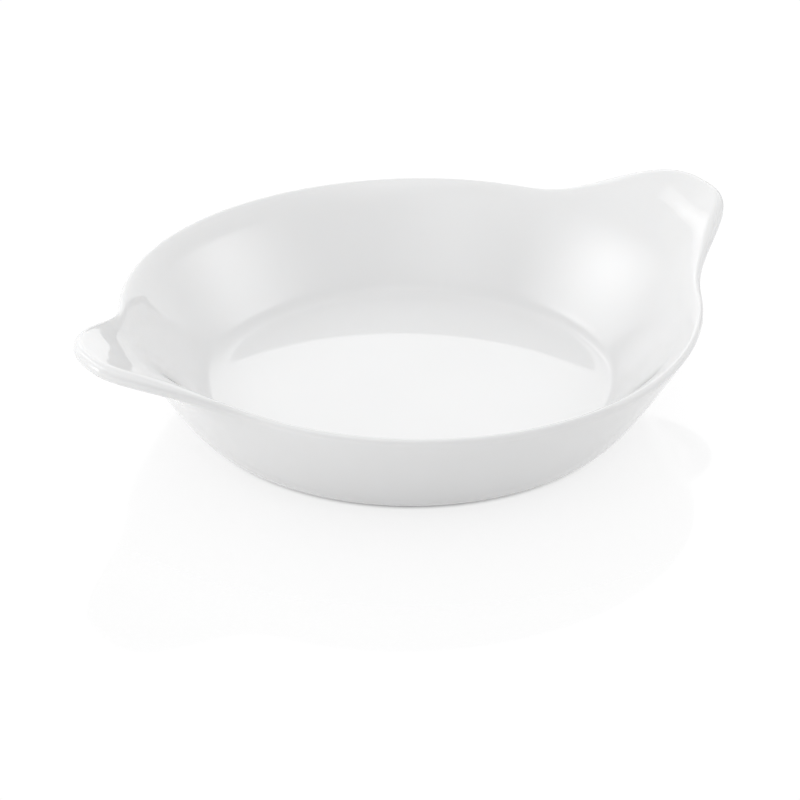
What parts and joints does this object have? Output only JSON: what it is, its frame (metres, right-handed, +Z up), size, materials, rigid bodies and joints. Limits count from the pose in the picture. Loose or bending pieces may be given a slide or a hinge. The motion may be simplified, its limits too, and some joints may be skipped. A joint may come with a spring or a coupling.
{
  "type": "gratin dish",
  "caption": "Round white porcelain gratin dish with a flared wall, an upturned ear at each end to lift it by, a flat floor and a bare foot ring, for baking and serving.",
  "frame": {"origin": "middle of the foot ring, on the table that the dish stands on", "axes": "+X along the two ears, +Z up out of the well, +Y across the bowl"},
  "size_m": [0.228, 0.1806, 0.0486],
  "materials": {
    "porcelain": "fired white porcelain body, seen only where the glaze stops",
    "bare_foot": "unglazed, fine grained, matt and slightly rubbed",
    "glaze": "clear gloss glaze over white porcelain"
  },
  "bodies": {
    "root": {"floor": "porcelain", "wall": "porcelain", "left_ear": "porcelain", "right_ear": "porcelain", "foot_ring": "bare_foot", "glaze": "glaze"}
  },
  "joints": []
}
